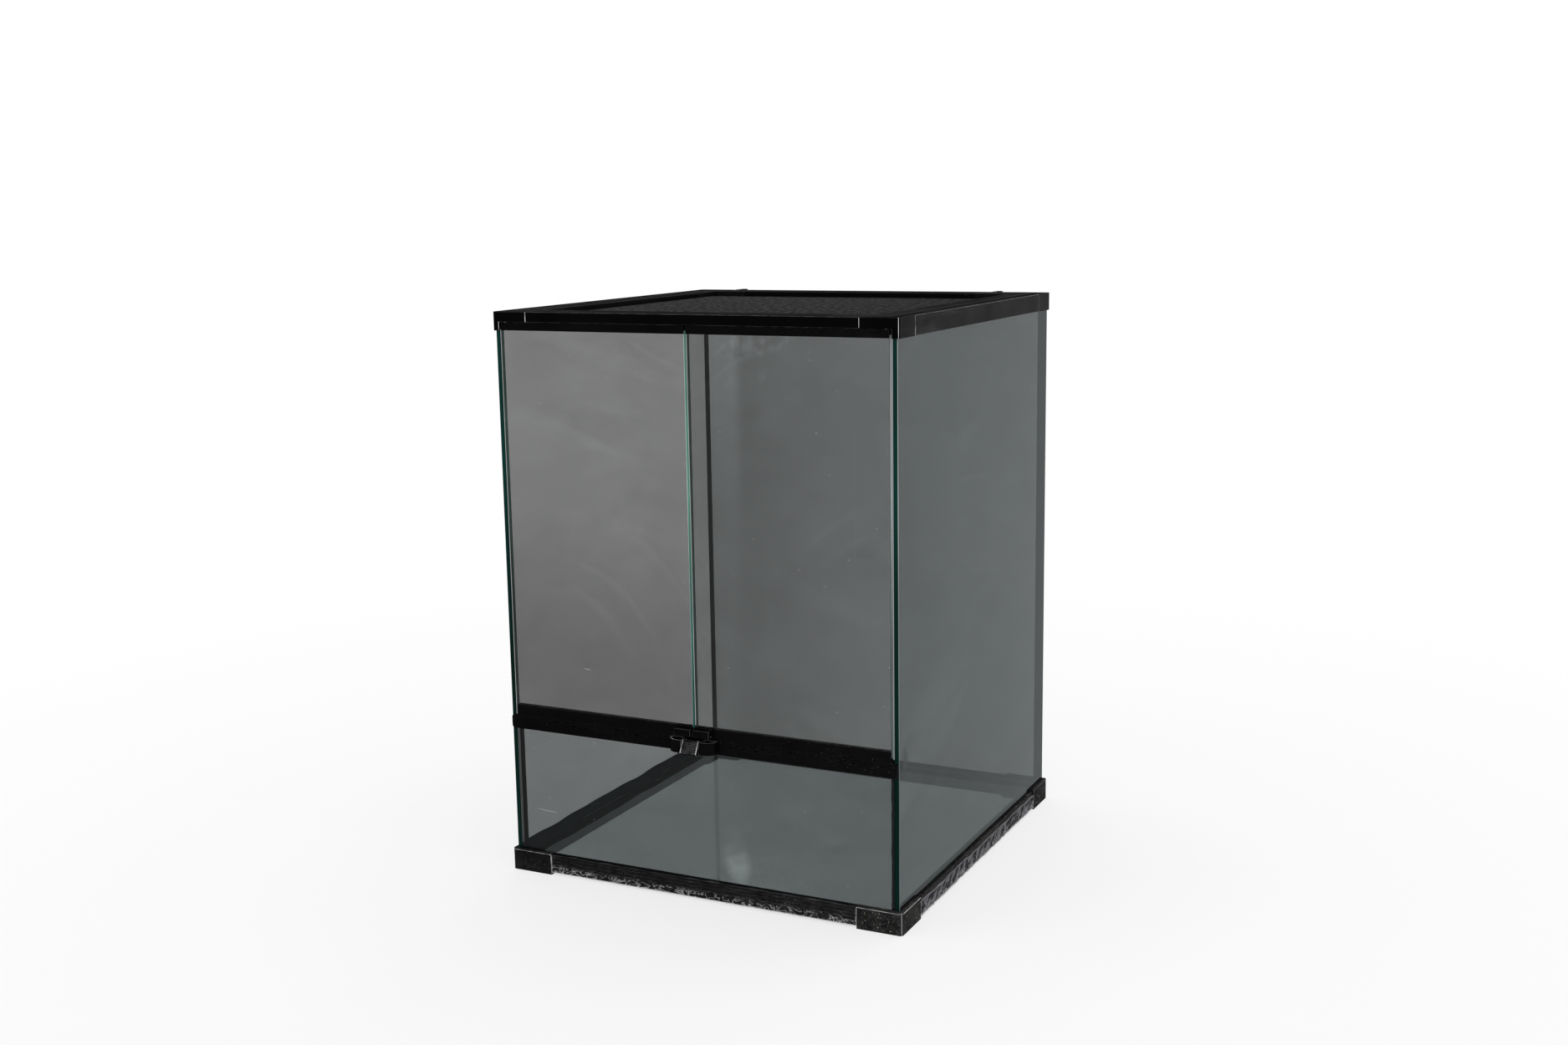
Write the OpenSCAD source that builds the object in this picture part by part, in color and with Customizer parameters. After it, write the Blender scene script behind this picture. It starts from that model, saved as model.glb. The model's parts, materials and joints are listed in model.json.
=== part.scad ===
// Front-opening glass terrarium: panes in a moulded base and top frame, two hinged doors over a
// slotted vent rail, a push-down door latch and a lift-out mesh screen.
// The floor is z = 0 and the doors face -Y.

/* [Overall size] */
// Width over the top frame
width = 450; // [380:1:600]
// Depth over the top frame
depth = 450; // [380:1:600]
// Height from the floor to the top of the rim
height = 600; // [450:1:900]

/* [Glass] */
// Thickness of the fixed panes
pane = 5; // [4:0.5:6]
// Thickness of the two door panes
door_pane = 5; // [4:0.5:6]
// Thickness of the floor pane
floor_pane = 5; // [4:0.5:6]
// Leg of the sealant bead in each inner corner, and along the front of the floor
seal = 4; // [3:0.5:5]
// Width of the other beads along the edge of the floor
foot_seal = 5; // [3:0.5:6]
// Height of those beads up the side and back panes
foot_seal_h = 9; // [4:0.5:14]

/* [Base frame] */
// Height of the corner blocks
block_h = 24; // [20:0.5:34]
// Length of each arm of a corner block
block_arm = 49; // [35:1:70]
// How far a corner block stands proud of the rails
block_proud = 1.5; // [1.4:0.1:2.5]
// Radius of a corner block's upright edge
block_round = 4; // [2:0.5:5]
// Bevel along the top edge of a corner block
block_bevel = 1.4; // [0.5:0.1:2.5]
// Height of the rails' outer wall above the floor
base_rail_top = 22; // [19:0.5:30]
// Gap between the rails and the floor
base_rail_gap = 3; // [1:0.5:6]
// Thickness of the rails' outer wall
base_wall = 3; // [2:0.5:4]
// Thickness of the web under the panes
base_web = 2.5; // [1.5:0.5:4]
// Height of the shelf that carries the floor pane
shelf_z = 12.8; // [11:0.1:16]
// Width of that shelf
shelf_w = 12; // [9:0.5:20]
// Radius of the ribs along the rails' outer face
rib_r = 0.7; // [0.4:0.1:0.9]
// Number of ribs along each rail
rib_count = 4; // [2:1:5]
// Thickness of the clear film over the rails
film_t = 0.4; // [0.2:0.1:0.5]

/* [Top frame] */
// Height of the rim, which is all the front rail shows
rim_h = 10.5; // [9:0.5:16]
// Width of the rim seen from above
rim_w = 17; // [14:0.5:24]
// How far the side and back skirts hang below the rim
skirt_h = 9; // [5:0.5:14]
// Thickness of the frame's outer wall and skirt
frame_wall = 2.5; // [2:0.5:4]
// Wall of the hollow rim elsewhere
rim_wall = 1.8; // [1.2:0.1:2.5]
// Thickness of the leg inside the panes
leg_t = 2.5; // [1.5:0.5:4]
// How far those legs stay clear of the back corners, where the sealant runs up
leg_relief = 12; // [9:0.5:14]
// Width of the ledge under the screen
ledge_w = 13; // [8:0.5:16]
// Thickness of that ledge
ledge_t = 2.5; // [1.5:0.5:3]
// Length of each arm of a top corner piece
top_arm = 40; // [32:1:60]
// Radius of a top corner's upright edge
top_round = 3; // [1:0.5:4]
// Height of the stop lip behind the doors
stop_h = 4; // [2:0.5:6]

/* [Corner tongues] */
// Length of the tongues that hold rails and corner pieces together
tongue = 14; // [8:1:25]
// Gap round a tongue
tongue_gap = 0.1; // [0.05:0.05:0.3]

/* [Vent rail] */
// Height of the vent rail's lower edge
vent_z = 158.4; // [120:0.1:220]
// Height of the vent rail
vent_h = 14.6; // [13:0.1:20]
// Thickness of its walls
vent_wall = 2; // [1.5:0.5:3]
// Depth of the channel that grips the lower pane
vent_grip = 6.6; // [4:0.1:8]
// Thickness of the webs above the pane and on top
vent_web = 1.2; // [1:0.1:2]
// How far its front wall laps over the edges of the side panes
vent_lap = 4.5; // [2:0.5:5]
// Radius of the corners of its front wall
vent_round = 3; // [1:0.5:4]
// Length of a vent slot
slot_len = 5.3; // [3:0.1:8]
// Height of a vent slot
slot_h = 1.2; // [0.8:0.1:1.5]
// Spacing of the slots in a row
slot_pitch = 15; // [10:0.5:25]
// Plain stretch each side of the middle
slot_start = 32; // [28:1:60]
// Height of the air gaps in the inner wall, under its top web
air_gap_h = 1.9; // [1:0.1:2.4]
// Solid stretch before each hinge pin
hinge_block = 6; // [4:0.5:8]

/* [Doors] */
// Gap between the two doors
split = 2.5; // [1.5:0.1:4]
// Gap between a door and the side pane
door_side_gap = 2; // [1.6:0.1:4]
// Gap above and below a door
door_end_gap = 0.4; // [0.3:0.05:1]
// Wall of the strips that grip a door pane
strip_wall = 1.3; // [1:0.1:2]
// Height of the lower strip
low_strip_h = 11.5; // [9:0.5:16]
// Height of the upper strip
high_strip_h = 8.1; // [7:0.1:14]
// Solid web of a strip, past the edge of the glass
strip_web = 4.7; // [3:0.1:6]
// Rounding of a strip's hinge end
strip_round = 2.4; // [1:0.1:3]
// Radius of a hinge pin
pin_r = 1.6; // [1.2:0.05:1.8]
// Radial running gap round a hinge pin
pin_gap = 0.05; // [0.02:0.01:0.09]
// How deep a hinge pin reaches into the frame
pin_reach = 5; // [3:0.5:5.5]
// Distance of a hinge pin from the door's outer edge
pin_inset = 4.5; // [3.5:0.1:6]
// Length of the catch on each door
catch_len = 18.75; // [12:0.25:24]
// How far a catch stands out from its strip
catch_out = 6.7; // [4:0.1:9]
// Height of a catch
catch_h = 8.8; // [6:0.1:9]

/* [Latch] */
// Half length of the latch's bowed cover
cover_half = 26; // [22:0.5:34]
// How far the ends of the cover stand out
cover_end = 3.5; // [2:0.5:5]
// How far its shoulders stand out
cover_out = 11.5; // [10:0.5:14]
// Half width of the recess for the thumb tab
recess_half = 10.2; // [9.8:0.1:12]
// Thickness of the cover's front wall behind the tab
cover_wall = 2.5; // [1.5:0.1:3]
// Wall of the cover's two open-topped wings
cover_skin = 1.3; // [1:0.1:2]
// Width of the thumb tab
tab_w = 18.5; // [14:0.5:19]
// How far the tip of the tab stands out from the vent rail
tab_out = 15.5; // [14:0.5:20]
// Number of grip ribs on the tab
tab_ribs = 9; // [5:1:12]
// Distance of each prong from the middle of the tab
prong_x = 8.5; // [7:0.1:9.5]
// Travel of the tab
tab_travel = 5; // [3:0.5:5]
// Depth of the pocket that the slider runs in
pocket_d = 5; // [4:0.1:6]
// Half width of the slider
slider_half = 10.7; // [8:0.1:12]
// Height of the slider
slider_h = 4.5; // [3:0.1:5]
// Gap round the slider and the tab's neck
slide_gap = 0.3; // [0.2:0.05:0.5]
// Wire radius of the latch spring
wire_r = 0.3; // [0.2:0.05:0.4]
// Radius of the latch spring's coil
coil_r = 1.4; // [1:0.1:1.6]
// Turns of the latch spring
coil_turns = 4; // [3:1:5]

/* [Screen] */
// Width of the screen's frame bars
bar_w = 20; // [16:0.5:26]
// Gap between the screen and the rim
screen_gap = 0.4; // [0.3:0.05:1]
// Wall of the hollow bars
bar_wall = 1.5; // [1:0.1:1.6]
// Length of each arm of a screen corner piece
screen_arm = 60; // [45:1:80]
// Height of the mesh above the ledge
mesh_up = 1.4; // [1.2:0.1:3]
// Thickness of the mesh
mesh_t = 0.7; // [0.5:0.1:1]
// How far the mesh runs into the bars
mesh_bite = 3; // [1:0.5:4]
// Width of a mesh strand
strand_w = 1; // [0.8:0.1:2]
// Gaps along each side of the mesh
mesh_gaps = 17; // [8:1:17]
// Distance of each screen clip from the middle
clip_x = 165; // [100:1:170]
// Width of a screen clip
clip_w = 6; // [4:0.5:12]
// Thickness of a screen clip
clip_t = 1.2; // [1:0.1:2]
// How far a clip's hook reaches down behind the rim
clip_hook = 6; // [3:0.5:9]
// How far a clip reaches over its bar
clip_foot = 5; // [3:0.5:12]
// Gap between a clip and the rim
clip_gap = 0.05; // [0.05:0.05:0.3]

/* [Hidden] */
$fn = 48;
eps = 0.01;

frame_black = "#2b2a2c";
strip_black = "#141416";
glass_tint = [0.62, 0.72, 0.70, 0.35];
edge_tint = [0.45, 0.68, 0.62, 0.5];
sealant_black = "#101011";

// sides of the box, counted anticlockwise from the doors
front = 0;
right = 1;
back = 2;
left = 3;

// outer faces of the fixed panes, and the faces of the base blocks
pane_x = width / 2 - frame_wall;
pane_y = depth / 2 - frame_wall;
block_out = base_wall + block_proud;

// the origin lies under the middle of the whole outline, which the latch makes longer at the front
mid_y = (vent_wall + tab_out - block_out) / 2;

pane_z = base_rail_gap + base_web;
floor_top = shelf_z + floor_pane;
rim_z = height - rim_h;
skirt_z = rim_z - skirt_h;
ledge_s = rim_w - frame_wall;

// the vent rail's levels
vent_top = vent_z + vent_h;
low_glass_top = vent_z + vent_grip;
vent_floor = low_glass_top + vent_web;
vent_roof = vent_top - vent_web;

// a door, measured outwards from the middle and inwards from the panes' outer plane
door_edge = pane_x - pane - door_side_gap;
door_mid = 0.5;
door_half = door_pane / 2;
strip_half = door_half + strip_wall;
pin_x = door_edge - pin_inset;
low_strip_z = vent_top + door_end_gap;
low_strip_top = low_strip_z + low_strip_h;
high_strip_top = rim_z - door_end_gap;
high_strip_z = high_strip_top - high_strip_h;
door_glass_z = low_strip_z + strip_web;
door_glass_top = high_strip_top - strip_web;

// the latch
cover_z = vent_z + 0.6;
cover_top = vent_top - 0.1;
pocket_z = cover_z + 2;
slider_z = cover_top - slider_h - 0.9;
neck_half = 5.9;
recess_out = pocket_d + cover_wall;
tab_back = recess_out + 0.5;

// the screen
screen_s = ledge_s + screen_gap;
screen_z = rim_z + ledge_t;
screen_h = height - screen_z;
mesh_z = screen_z + mesh_up;

// ---- placing ----

// everything is drawn about the middle of the glass box and then moved to the origin
module placed() translate([0, mid_y, 0]) children();

// local X runs along the side, local Y runs inwards from the panes' outer plane
module on_side(side) {
    reach = side % 2 == 0 ? pane_y : pane_x;
    rotate(side * 90) translate([0, -reach, 0]) children();
}

// local X and Y run inwards from the corner of the panes' outer planes
module at_corner(sx, sy) {
    translate([sx * pane_x, sy * pane_y, 0])
        mirror([sx > 0 ? 1 : 0, 0, 0]) mirror([0, sy > 0 ? 1 : 0, 0]) children();
}

// a section drawn as (inwards, up), run along a side
module run(len) translate([-len / 2, 0, 0]) rotate([90, 0, 90]) linear_extrude(len) children();

function side_reach(side) = side % 2 == 0 ? pane_x : pane_y;

// an L seen from above, from the outer face at o, with arms that end at au and av
module corner_plan(o, au, av, w, r) {
    translate([o + r, o]) square([au - o - r, w]);
    translate([o, o + r]) square([w, av - o - r]);
    translate([o + r, o + r]) circle(r);
}

// ---- base frame ----

module base_section() {
    difference() {
        union() {
            translate([-base_wall, base_rail_gap]) square([base_wall, base_rail_top - base_rail_gap]);
            translate([-eps, base_rail_gap]) square([pane + 2 * eps, base_web]);
            translate([pane, base_rail_gap]) square([shelf_w, shelf_z - base_rail_gap]);
            for (i = [1 : rib_count])
                translate([-base_wall, base_rail_gap + i * rib_step]) circle(rib_r);
        }
        base_chamber(0);
    }
}
rib_step = (base_rail_top - base_rail_gap) / (rib_count + 1);

// the hollow under the floor pane, made smaller by a gap for the tongue
module base_chamber(gap) {
    translate([pane + 2 + gap, pane_z + gap])
        square([shelf_w - 4 - 2 * gap, shelf_z - 2 - pane_z - 2 * gap]);
}

module base_rail(side) {
    len = 2 * (side_reach(side) + block_out - block_arm);
    color(frame_black) placed() on_side(side) run(len) base_section();
}

module base_corner(sx, sy) {
    arm_end = block_arm - block_out;
    color(frame_black) placed() at_corner(sx, sy) {
        difference() {
            linear_extrude(block_h)
                corner_plan(-block_out, arm_end, arm_end, block_out + pane + shelf_w, block_round);
            translate([0, 0, shelf_z]) cube([block_arm, block_arm, block_h]);
            translate([0, 0, pane_z]) cube([pane, block_arm, block_h]);
            translate([0, 0, pane_z]) cube([block_arm, pane, block_h]);
            // bevel along both top edges
            translate([-block_out, arm_end / 2, block_h]) rotate([0, 45, 0])
                cube([block_bevel * sqrt(2), 3 * block_arm, block_bevel * sqrt(2)], center = true);
            translate([arm_end / 2, -block_out, block_h]) rotate([45, 0, 0])
                cube([3 * block_arm, block_bevel * sqrt(2), block_bevel * sqrt(2)], center = true);
        }
        for (turn = [0, 1])
            mirror([turn, -turn, 0]) translate([arm_end - eps, 0, 0])
                rotate([90, 0, 90]) linear_extrude(tongue) base_chamber(tongue_gap);
    }
}

// clear film wrapped over the ribs and both edges of a rail
module film_section() {
    face = -base_wall - rib_r;
    translate([face - film_t, base_rail_gap - film_t])
        square([film_t, base_rail_top - base_rail_gap + 2 * film_t]);
    translate([face - eps, base_rail_top]) square([base_wall + rib_r - 0.3, film_t]);
    translate([face - eps, base_rail_gap - film_t]) square([base_wall + rib_r, film_t]);
}

module film(side) {
    len = 2 * (side_reach(side) + block_out - block_arm);
    color([0.85, 0.88, 0.9, 0.35]) placed() on_side(side) run(len) film_section();
}

// ---- glass ----

module side_glass(sx) {
    color(glass_tint) placed()
        translate([sx > 0 ? pane_x - pane : -pane_x, -pane_y, pane_z])
            cube([pane, 2 * pane_y, rim_z - pane_z]);
}

module upright_pane(y, top) {
    color(glass_tint) placed()
        translate([pane - pane_x, y, pane_z]) cube([2 * (pane_x - pane), pane, top - pane_z]);
}

module floor_glass() {
    color(glass_tint) placed()
        translate([pane - pane_x, pane - pane_y, shelf_z])
            cube([2 * (pane_x - pane), 2 * (pane_y - pane), floor_pane]);
}

// three-sided sealant beads in the two corners of one end, which start on the floor's beads
module seals(sy, top) {
    color(sealant_black) placed() difference() {
        for (sx = [-1, 1])
            at_corner(sx, sy) translate([pane, pane, floor_top])
                linear_extrude(top - floor_top) polygon([[0, 0], [seal, 0], [0, seal]]);
        foot_beads();
    }
}

// three-sided beads round the edge of the floor pane, low behind the front pane
module foot_beads() {
    for (side = [front, right, back, left])
        on_side(side) run(2 * (side_reach(side) - pane)) translate([pane, floor_top])
            polygon(side == front ? [[0, 0], [seal, 0], [0, seal]]
                                  : [[0, 0], [foot_seal, 0], [0, foot_seal_h]]);
}

module floor_seals() color(sealant_black) placed() foot_beads();

// ---- vent rail ----

vent_inner = pane_x - pane;
vent_half = vent_inner + vent_lap;
slot_end = pin_x - hinge_block - vent_wall;
slot_count = floor((slot_end - slot_start - slot_pitch / 2) / slot_pitch);

module vent_front_wall() {
    difference() {
        union() {
            translate([-vent_half, vent_z + vent_round])
                square([2 * vent_half, vent_h - 2 * vent_round]);
            translate([vent_round - vent_half, vent_z])
                square([2 * (vent_half - vent_round), vent_h]);
            for (sx = [-1, 1], z = [vent_z + vent_round, vent_top - vent_round])
                translate([sx * (vent_half - vent_round), z]) circle(vent_round);
        }
        for (sx = [-1, 1], i = [0 : slot_count - 1], row = [0, 1])
            translate([sx * (slot_start + (i + row / 2) * slot_pitch), slot_level(row)])
                square([slot_len, slot_h], center = true);
    }
}
function slot_level(row) = vent_floor + (vent_roof - vent_floor) * (0.27 + 0.5 * (1 - row));

// the inner wall has one long air gap for each pair of slots, above them, so that nothing shows through
module vent_back_wall() {
    difference() {
        translate([-vent_inner, vent_z]) square([2 * vent_inner, vent_h]);
        for (sx = [-1, 1], i = [0 : slot_count - 1])
            translate([sx * (slot_start + i * slot_pitch), vent_roof - air_gap_h / 2])
                square([0.7 * slot_pitch, air_gap_h], center = true);
    }
}

module vent_rail() {
    block_in = pin_x - hinge_block;
    color(strip_black) placed() difference() {
        union() {
            translate([0, -pane_y, 0]) rotate([90, 0, 0]) linear_extrude(vent_wall)
                vent_front_wall();
            translate([0, pane - pane_y + vent_wall, 0]) rotate([90, 0, 0])
                linear_extrude(vent_wall) vent_back_wall();
            for (z = [low_glass_top, vent_roof])
                translate([-vent_inner, -pane_y - eps, z])
                    cube([2 * vent_inner, pane + 2 * eps, vent_web]);
            for (sx = [-1, 1])
                translate([sx > 0 ? block_in : -vent_inner, -pane_y - eps, low_glass_top])
                    cube([vent_inner - block_in, pane + 2 * eps, vent_top - low_glass_top]);
        }
        for (sx = [-1, 1])
            translate([sx * pin_x, door_mid - pane_y, vent_top - pin_reach - 0.5])
                cylinder(h = vent_h, r = pin_r + pin_gap);
    }
}

// ---- top frame ----

module rim_chamber(gap) {
    translate([gap, rim_z + rim_wall + gap])
        square([ledge_s - rim_wall - 2 * gap, rim_h - 2 * rim_wall - 2 * gap]);
}

module top_section(skirt) {
    difference() {
        union() {
            translate([-frame_wall, rim_z]) square([rim_w, rim_h]);
            translate([ledge_s - eps, rim_z]) square([ledge_w + eps, ledge_t]);
            if (skirt) {
                translate([-frame_wall, skirt_z]) square([frame_wall, skirt_h + eps]);
                translate([pane, skirt_z]) square([leg_t, skirt_h + eps]);
            }
        }
        rim_chamber(0);
    }
}

module top_rail(side) {
    len = 2 * (side_reach(side) + frame_wall - top_arm);
    color(frame_black) placed() on_side(side) {
        run(len) top_section(side != front);
        // lip that the closed doors rest against
        if (side == front)
            translate([-len / 2, door_mid + strip_half + 0.7, rim_z - stop_h])
                cube([len, leg_t, stop_h + eps]);
    }
}

module ledge_plan(arm_end) {
    translate([ledge_s - eps, ledge_s - eps]) square([arm_end - ledge_s + eps, ledge_w]);
    translate([ledge_s - eps, ledge_s - eps]) square([ledge_w, arm_end - ledge_s + eps]);
}

module top_corner(sx, sy) {
    arm_end = top_arm - frame_wall;
    at_front = sy < 0;
    leg_start = at_front ? door_mid + strip_half + 4 : pane + leg_relief;
    color(frame_black) placed() at_corner(sx, sy) {
        difference() {
            union() {
                translate([0, 0, rim_z]) linear_extrude(rim_h)
                    corner_plan(-frame_wall, arm_end, arm_end, rim_w, top_round);
                translate([0, 0, rim_z]) linear_extrude(ledge_t) ledge_plan(arm_end);
                translate([0, 0, skirt_z]) linear_extrude(skirt_h + eps) difference() {
                    corner_plan(-frame_wall, at_front ? pane : arm_end, arm_end, frame_wall,
                                top_round);
                    square(top_arm);
                }
                translate([pane, leg_start, skirt_z])
                    cube([leg_t, arm_end - leg_start, skirt_h + eps]);
                if (!at_front)
                    translate([leg_start, pane, skirt_z])
                        cube([arm_end - leg_start, leg_t, skirt_h + eps]);
            }
            if (at_front)
                translate([pane_x - pin_x, door_mid, rim_z - 1])
                    cylinder(h = pin_reach + 1.5, r = pin_r + pin_gap);
        }
        for (turn = [0, 1])
            mirror([turn, -turn, 0]) translate([arm_end - eps, 0, 0])
                rotate([90, 0, 90]) linear_extrude(tongue) rim_chamber(tongue_gap);
    }
}

// ---- doors ----

// the door strips' plan: square at the split and rounded at the hinge
module strip_plan() {
    translate([split / 2, -strip_half])
        square([door_edge - split / 2 - strip_round, 2 * strip_half]);
    translate([split / 2, strip_round - strip_half])
        square([door_edge - split / 2, 2 * (strip_half - strip_round)]);
    for (s = [-1, 1])
        translate([door_edge - strip_round, s * (strip_half - strip_round)]) circle(strip_round);
}

// open upwards, with the two lips bevelled
module strip_section(h) {
    lip = 0.8;
    polygon([
        [-strip_half, 0], [strip_half, 0], [strip_half, h - lip], [strip_half - lip / 2, h],
        [door_half, h], [door_half, strip_web], [-door_half, strip_web], [-door_half, h],
        [lip / 2 - strip_half, h], [-strip_half, h - lip]
    ]);
}

// places what belongs to a door, drawn on the right with local Y = 0 in the door's middle plane
module door_side(sx) {
    placed() mirror([sx < 0 ? 1 : 0, 0, 0]) translate([0, door_mid - pane_y, 0]) children();
}

module door_glass(sx) {
    color(edge_tint) door_side(sx)
        translate([split / 2 + 0.25, -door_half, door_glass_z])
            cube([door_edge - split / 2 - 0.25, door_pane, door_glass_top - door_glass_z]);
}

module strip(sx, z, h, down) {
    color(strip_black) door_side(sx) translate([0, 0, down ? z + h : z])
        mirror([0, 0, down ? 1 : 0]) difference() {
            intersection() {
                rotate([90, 0, 90]) linear_extrude(width) strip_section(h);
                linear_extrude(h) strip_plan();
            }
            translate([pin_x, 0, -1]) cylinder(h = strip_web + 1 + eps, r = pin_r + pin_gap);
        }
}

module pin(sx, z) {
    color("#9a9a9c") door_side(sx) translate([pin_x, 0, z])
        cylinder(h = pin_reach + door_end_gap + strip_web, r = pin_r);
}

// hooked block on the lower strip, beside the split
module catch(sx) {
    z = low_strip_top - catch_h;
    color(strip_black) door_side(sx) translate([split / 2, -strip_half, z])
        rotate([90, 0, 90]) linear_extrude(catch_len) polygon([
            [0, 0], [0, catch_h], [-catch_out * 0.45, catch_h], [-catch_out * 0.85, catch_h * 0.8],
            [-catch_out, catch_h * 0.5], [-catch_out, 0], [-catch_out * 0.7, 0],
            [-catch_out * 0.7, catch_h * 0.25], [-catch_out * 0.25, catch_h * 0.25],
            [-catch_out * 0.25, 0]
        ]);
}

// ---- latch ----

// places what belongs to the latch, with local Y = 0 on the vent rail's face and -Y outwards
module at_latch() placed() translate([0, -pane_y - vent_wall, 0]) children();

shoulder = recess_half + 2.8;
bow_steps = 10;
pocket_half = slider_half + slide_gap;
function bow(i, inset = 0) = let (a = 90 * i / bow_steps) [
    shoulder + (cover_half - inset - shoulder) * cos(a),
    -cover_end - (cover_out - inset - cover_end) * sin(a)
];

module cover_plan() {
    half = concat([for (i = [0 : bow_steps]) bow(i)],
                  [[recess_half, -cover_out], [recess_half, -recess_out]]);
    polygon(concat([[-cover_half, 0], [cover_half, 0]], half,
                   [for (i = [len(half) - 1 : -1 : 0]) [-half[i][0], half[i][1]]]));
}

// the hollow of one wing, beside the slider's pocket
module wing_plan() {
    start = pocket_half + cover_skin;
    polygon(concat([[start, -cover_skin], [cover_half - cover_skin, -cover_skin]],
                   [for (i = [0 : bow_steps]) bow(i, cover_skin)],
                   [[start, cover_skin - cover_out]]));
}

module latch_cover() {
    window_half = neck_half + slide_gap;
    color(strip_black) at_latch() difference() {
        translate([0, 0, cover_z]) linear_extrude(cover_top - cover_z) cover_plan();
        for (turn = [0, 1])
            mirror([turn, 0, 0]) translate([0, 0, cover_z + cover_skin])
                linear_extrude(vent_h) wing_plan();
        translate([-pocket_half, -pocket_d, pocket_z]) cube([2 * pocket_half, pocket_d + 1, vent_h]);
        translate([-window_half, -2 * recess_out, slider_z - tab_travel - slide_gap])
            cube([2 * window_half, 2 * recess_out, vent_h]);
    }
}

// thumb tab seen from its side, as (outwards, up)
tab_low = vent_z + 0.8;
tab_face = [[-tab_back - 1, cover_top - 0.3], [-tab_out, tab_low + 1.6]];

module tab_profile() {
    polygon([
        [-tab_back, cover_top - 0.3], tab_face[0], tab_face[1], [-tab_out + 0.5, tab_low],
        [-tab_out + 3.4, tab_low], [-tab_back, slider_z - 0.6]
    ]);
    for (i = [1 : tab_ribs])
        translate(tab_face[0] + (tab_face[1] - tab_face[0]) * i / (tab_ribs + 1)) circle(0.35);
}

module latch_tab() {
    slider_d = pocket_d - 2 * slide_gap;
    color(strip_black) at_latch() {
        translate([-tab_w / 2, 0, 0]) rotate([90, 0, 90]) linear_extrude(tab_w) tab_profile();
        translate([-neck_half, -tab_back - eps, slider_z])
            cube([2 * neck_half, tab_back - pocket_d + slide_gap + 2 * eps, slider_h - 0.5]);
        translate([-slider_half, -pocket_d + slide_gap, slider_z])
            cube([2 * slider_half, slider_d, slider_h]);
        // prongs that stand in front of the catches
        for (sx = [-1, 1])
            translate([sx * prong_x - 1, -pocket_d + slide_gap, slider_z])
                cube([2, slider_d / 2, cover_top - slider_z]);
    }
}

coil_steps = 12;
function coil_ring(i, low, high) =
    let (n = coil_turns * coil_steps, a = 360 * i / coil_steps, z = low + (high - low) * i / n)
    [for (k = [0 : 5]) [(coil_r + wire_r * cos(60 * k)) * cos(a),
                        (coil_r + wire_r * cos(60 * k)) * sin(a), z + wire_r * sin(60 * k)]];

// helical spring between the pocket's floor and the slider
module latch_spring() {
    n = coil_turns * coil_steps;
    low = pocket_z + wire_r;
    high = slider_z - wire_r;
    points = [for (i = [0 : n]) each coil_ring(i, low, high)];
    sides = [for (i = [0 : n - 1], k = [0 : 5])
        each [[i * 6 + k, i * 6 + (k + 1) % 6, (i + 1) * 6 + k],
              [i * 6 + (k + 1) % 6, (i + 1) * 6 + (k + 1) % 6, (i + 1) * 6 + k]]];
    ends = [[5, 4, 3, 2, 1, 0], [for (k = [0 : 5]) n * 6 + k]];
    echo(least_coil_gap = (high - low) / coil_turns - 2 * wire_r);
    color("silver") at_latch() translate([0, -pocket_d / 2, 0]) polyhedron(points, concat(sides, ends));
}

// ---- screen ----

module bar_chamber(gap) {
    translate([bar_wall + gap, mesh_up + mesh_t + bar_wall + gap])
        square([bar_w - 2 * bar_wall - 2 * gap,
                screen_h - mesh_up - mesh_t - 2 * bar_wall - 2 * gap]);
}

// drawn from the bar's outer edge and underside
module bar_section() {
    difference() {
        square([bar_w, screen_h]);
        bar_chamber(0);
        mesh_groove();
    }
}

module mesh_groove() translate([bar_w - mesh_bite - 0.2, mesh_up]) square([bar_w, mesh_t]);

module screen_bar(side) {
    len = 2 * (side_reach(side) - screen_s - screen_arm);
    color("#4a484a") placed() on_side(side) translate([0, screen_s, screen_z]) run(len) bar_section();
}

module screen_corner(sx, sy) {
    color("#5a585a") placed() at_corner(sx, sy) translate([screen_s, screen_s, screen_z]) {
        difference() {
            linear_extrude(screen_h) corner_plan(0, screen_arm, screen_arm, bar_w, 1);
            translate([bar_w - mesh_bite - 0.2, bar_w - mesh_bite - 0.2, mesh_up])
                cube([screen_arm, screen_arm, mesh_t]);
        }
        for (turn = [0, 1])
            mirror([turn, -turn, 0]) translate([screen_arm - eps, 0, 0])
                rotate([90, 0, 90]) linear_extrude(tongue) bar_chamber(tongue_gap);
    }
}

// an open net of square gaps, held in the bars' grooves
module screen_mesh() {
    half = [for (reach = [pane_x, pane_y]) reach - screen_s - bar_w + mesh_bite];
    inner = half - [mesh_bite, mesh_bite];
    cell = 2 * inner / mesh_gaps;
    color("#3c3a3a") placed() translate([0, 0, mesh_z]) linear_extrude(mesh_t) difference() {
        square(2 * half, center = true);
        for (i = [0 : mesh_gaps - 1], j = [0 : mesh_gaps - 1])
            translate([(i + 0.5) * cell[0] - inner[0], (j + 0.5) * cell[1] - inner[1]])
                square([cell[0] - strand_w, cell[1] - strand_w], center = true);
    }
}

// two clips on the back bar that hook over the back rail
module screen_clips() {
    hook_s = -frame_wall - screen_gap;
    foot = screen_s + clip_foot;
    edge = clip_t * 0.4;
    color(strip_black) placed() for (sx = [-1, 1])
        on_side(back) translate([sx * clip_x, 0, 0]) run(clip_w) polygon([
            [foot, height], [foot, height + clip_t - edge], [foot - 2 * edge, height + clip_t],
            [hook_s - clip_t + edge, height + clip_t], [hook_s - clip_t, height + clip_t - edge],
            [hook_s - clip_t, height - clip_hook], [hook_s, height - clip_hook],
            [hook_s, height + clip_gap], [ledge_s, height + clip_gap], [screen_s, height]
        ]);
}

// ---- one module for each node ----

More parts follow.
